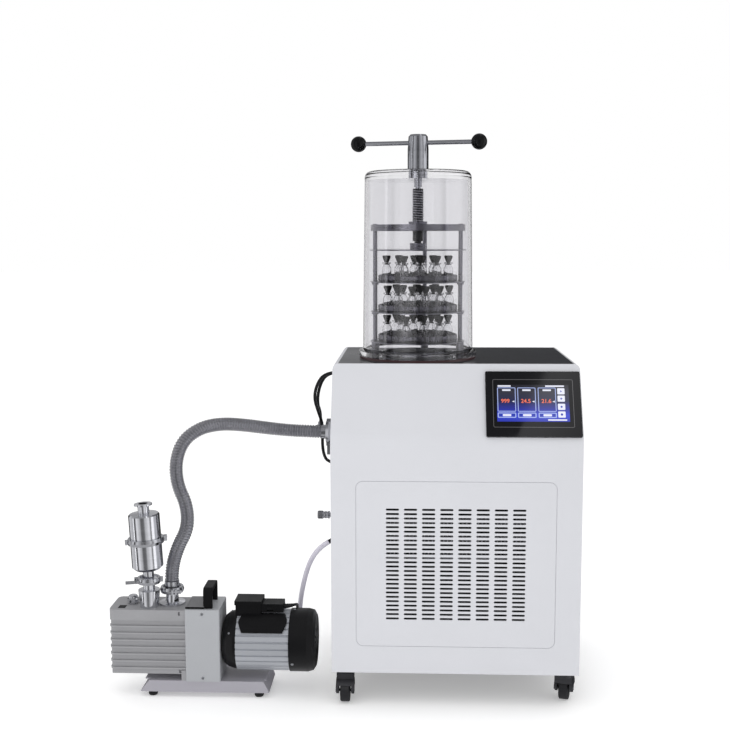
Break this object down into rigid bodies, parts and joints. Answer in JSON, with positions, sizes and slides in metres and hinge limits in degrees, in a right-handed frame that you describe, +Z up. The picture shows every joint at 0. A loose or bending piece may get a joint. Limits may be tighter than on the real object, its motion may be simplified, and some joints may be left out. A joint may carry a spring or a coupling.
{
  "type": "freeze dryer",
  "caption": "Top-press freeze dryer: clear drying chamber with a vial rack over a cold trap cabinet, joined by a hose to a rotary vane vacuum pump.",
  "frame": {"origin": "middle of the floor area that the cabinet and the pump cover, on the floor", "axes": "+Z up, +X from the pump to the cabinet along its front, +Y from the front to the back"},
  "size_m": [1.0404, 0.4638, 1.2525],
  "materials": {
    "acrylic": "clear acrylic",
    "black_plastic": "moulded black plastic",
    "bracket_paint": "silver-grey paint",
    "cable_black": "black sheath",
    "case_grey": "mid grey paint",
    "caster_tread": "hard black tread",
    "condenser_alloy": "bare fins",
    "dark_paint": "dark grey satin powder coat",
    "hose_steel": "corrugated stainless steel",
    "motor_alloy": "as-extruded aluminium",
    "polished": "polished stainless steel",
    "pump_paint": "silver-grey paint",
    "screen_gloss": "black glass over a lit display",
    "seal_rubber": "dark red-brown rubber",
    "stainless": "satin stainless steel",
    "stopper_rubber": "grey rubber",
    "tube_clear": "milky silicone",
    "vial_glass": "clear glass",
    "white_paint": "light grey powder coat",
    "zinc": "zinc-plated steel"
  },
  "bodies": {
    "machine": {"base_frame": "dark_paint", "left_side_panel": "white_paint", "right_side_panel": "white_paint", "front_panel": "white_paint", "louvre_panel": "white_paint", "rear_panel": "white_paint", "top_deck": "dark_paint", "cold_trap": "stainless", "evaporator_coil": "stainless", "compressor": "dark_paint", "condenser": "condenser_alloy", "fan_motor": "dark_paint", "power_inlet": "black_plastic", "touch_screen": "screen_gloss", "jar_seal": "seal_rubber", "bell_jar": "acrylic", "jar_bushing": "polished", "rack_frame": "polished", "rack_shelves": "stainless", "trays": "stainless", "vials": "vial_glass", "stoppers": "stopper_rubber", "vacuum_port": "stainless", "kf_fittings": "polished", "vacuum_gauge": "stainless", "side_fittings": "black_plastic", "pump_base": "pump_paint", "pump_feet": "caster_tread", "oil_case": "case_grey", "pump_bracket": "bracket_paint", "carry_handle": "black_plastic", "motor_bell": "dark_paint", "motor_body": "motor_alloy", "motor_box": "black_plastic", "fan_cover": "black_plastic", "pump_ports": "polished", "mist_trap": "polished", "vacuum_hose": "hose_steel", "drain_tube": "tube_clear", "signal_cable": "cable_black", "gauge_cable": "cable_black", "pump_lead": "cable_black", "lead_plug": "black_plastic", "lead_tie": "cable_black"},
    "handle": {"press_handle": "polished", "handle_knobs": "black_plastic"},
    "carriage": {"press_plate": "stainless"},
    "screw": {"press_screw": "zinc"},
    "condenser_rotor": {"condenser_fan": "black_plastic"},
    "motor_rotor": {"motor_fan": "black_plastic"},
    "rocker": {"pump_switch": "black_plastic"},
    "vent": {"vent_knob": "black_plastic"},
    "fork_front_left": {"caster_fork_front_left": "black_plastic"},
    "wheel_front_left": {"caster_wheel_front_left": "caster_tread"},
    "fork_front_right": {"caster_fork_front_right": "black_plastic"},
    "wheel_front_right": {"caster_wheel_front_right": "caster_tread"},
    "fork_rear_left": {"caster_fork_rear_left": "black_plastic"},
    "wheel_rear_left": {"caster_wheel_rear_left": "caster_tread"},
    "fork_rear_right": {"caster_fork_rear_right": "black_plastic"},
    "wheel_rear_right": {"caster_wheel_rear_right": "caster_tread"}
  },
  "joints": [
    {"name": "handle_turn", "type": "hinge", "parent": "machine", "child": "handle", "pos_m": [0.1665, -0.0062, 1.234], "axis": [0, 0, -1], "range_deg": [0, 990]},
    {"name": "press_travel", "type": "slide", "parent": "machine", "child": "carriage", "axis": [0, 0, -1], "range_m": [0, 0.0111]},
    {"name": "screw_turn", "type": "hinge", "parent": "carriage", "child": "screw", "pos_m": [0.1665, -0.0062, 1.07], "axis": [0, 0, -1], "range_deg": [0, 991]},
    {"name": "swivel_front_left", "type": "hinge", "parent": "machine", "child": "fork_front_left", "pos_m": [0.0085, -0.1922, 0.066], "axis": [0, 0, 1], "continuous": true},
    {"name": "roll_front_left", "type": "hinge", "parent": "fork_front_left", "child": "wheel_front_left", "pos_m": [0.0085, -0.2082, 0.025], "axis": [1, 0, 0], "continuous": true},
    {"name": "swivel_front_right", "type": "hinge", "parent": "machine", "child": "fork_front_right", "pos_m": [0.4905, -0.1922, 0.066], "axis": [0, 0, 1], "continuous": true},
    {"name": "roll_front_right", "type": "hinge", "parent": "fork_front_right", "child": "wheel_front_right", "pos_m": [0.49464, -0.17675, 0.025], "axis": [-0.9659, 0.2588, 0], "continuous": true},
    {"name": "swivel_rear_left", "type": "hinge", "parent": "machine", "child": "fork_rear_left", "pos_m": [0.0085, 0.1898, 0.066], "axis": [0, 0, 1], "continuous": true},
    {"name": "roll_rear_left", "type": "hinge", "parent": "fork_rear_left", "child": "wheel_rear_left", "pos_m": [0.01183, 0.17415, 0.025], "axis": [0.9781, 0.2079, 0], "continuous": true},
    {"name": "swivel_rear_right", "type": "hinge", "parent": "machine", "child": "fork_rear_right", "pos_m": [0.4905, 0.1898, 0.066], "axis": [0, 0, 1], "continuous": true},
    {"name": "roll_rear_right", "type": "hinge", "parent": "fork_rear_right", "child": "wheel_rear_right", "pos_m": [0.48636, 0.17434, 0.025], "axis": [0.9659, -0.2588, 0], "continuous": true},
    {"name": "condenser_fan_spin", "type": "hinge", "parent": "machine", "child": "condenser_rotor", "pos_m": [0.2495, -0.1232, 0.265], "axis": [0, 1, 0], "continuous": true},
    {"name": "motor_fan_spin", "type": "hinge", "parent": "machine", "child": "motor_rotor", "pos_m": [-0.0945, -0.1492, 0.117], "axis": [1, 0, 0], "continuous": true},
    {"name": "switch_rock", "type": "hinge", "parent": "machine", "child": "rocker", "pos_m": [-0.1625, -0.1692, 0.1975], "axis": [1, 0, 0], "range_deg": [0, 20]},
    {"name": "vent_turn", "type": "hinge", "parent": "machine", "child": "vent", "pos_m": [-0.0575, -0.0462, 0.38], "axis": [-1, 0, 0], "range_deg": [0, 360]}
  ],
  "couplings": [
    {"joint": "press_travel", "follows": "handle_turn", "m_per_rad": 0.00063662},
    {"joint": "screw_turn", "follows": "handle_turn", "ratio": 1}
  ]
}
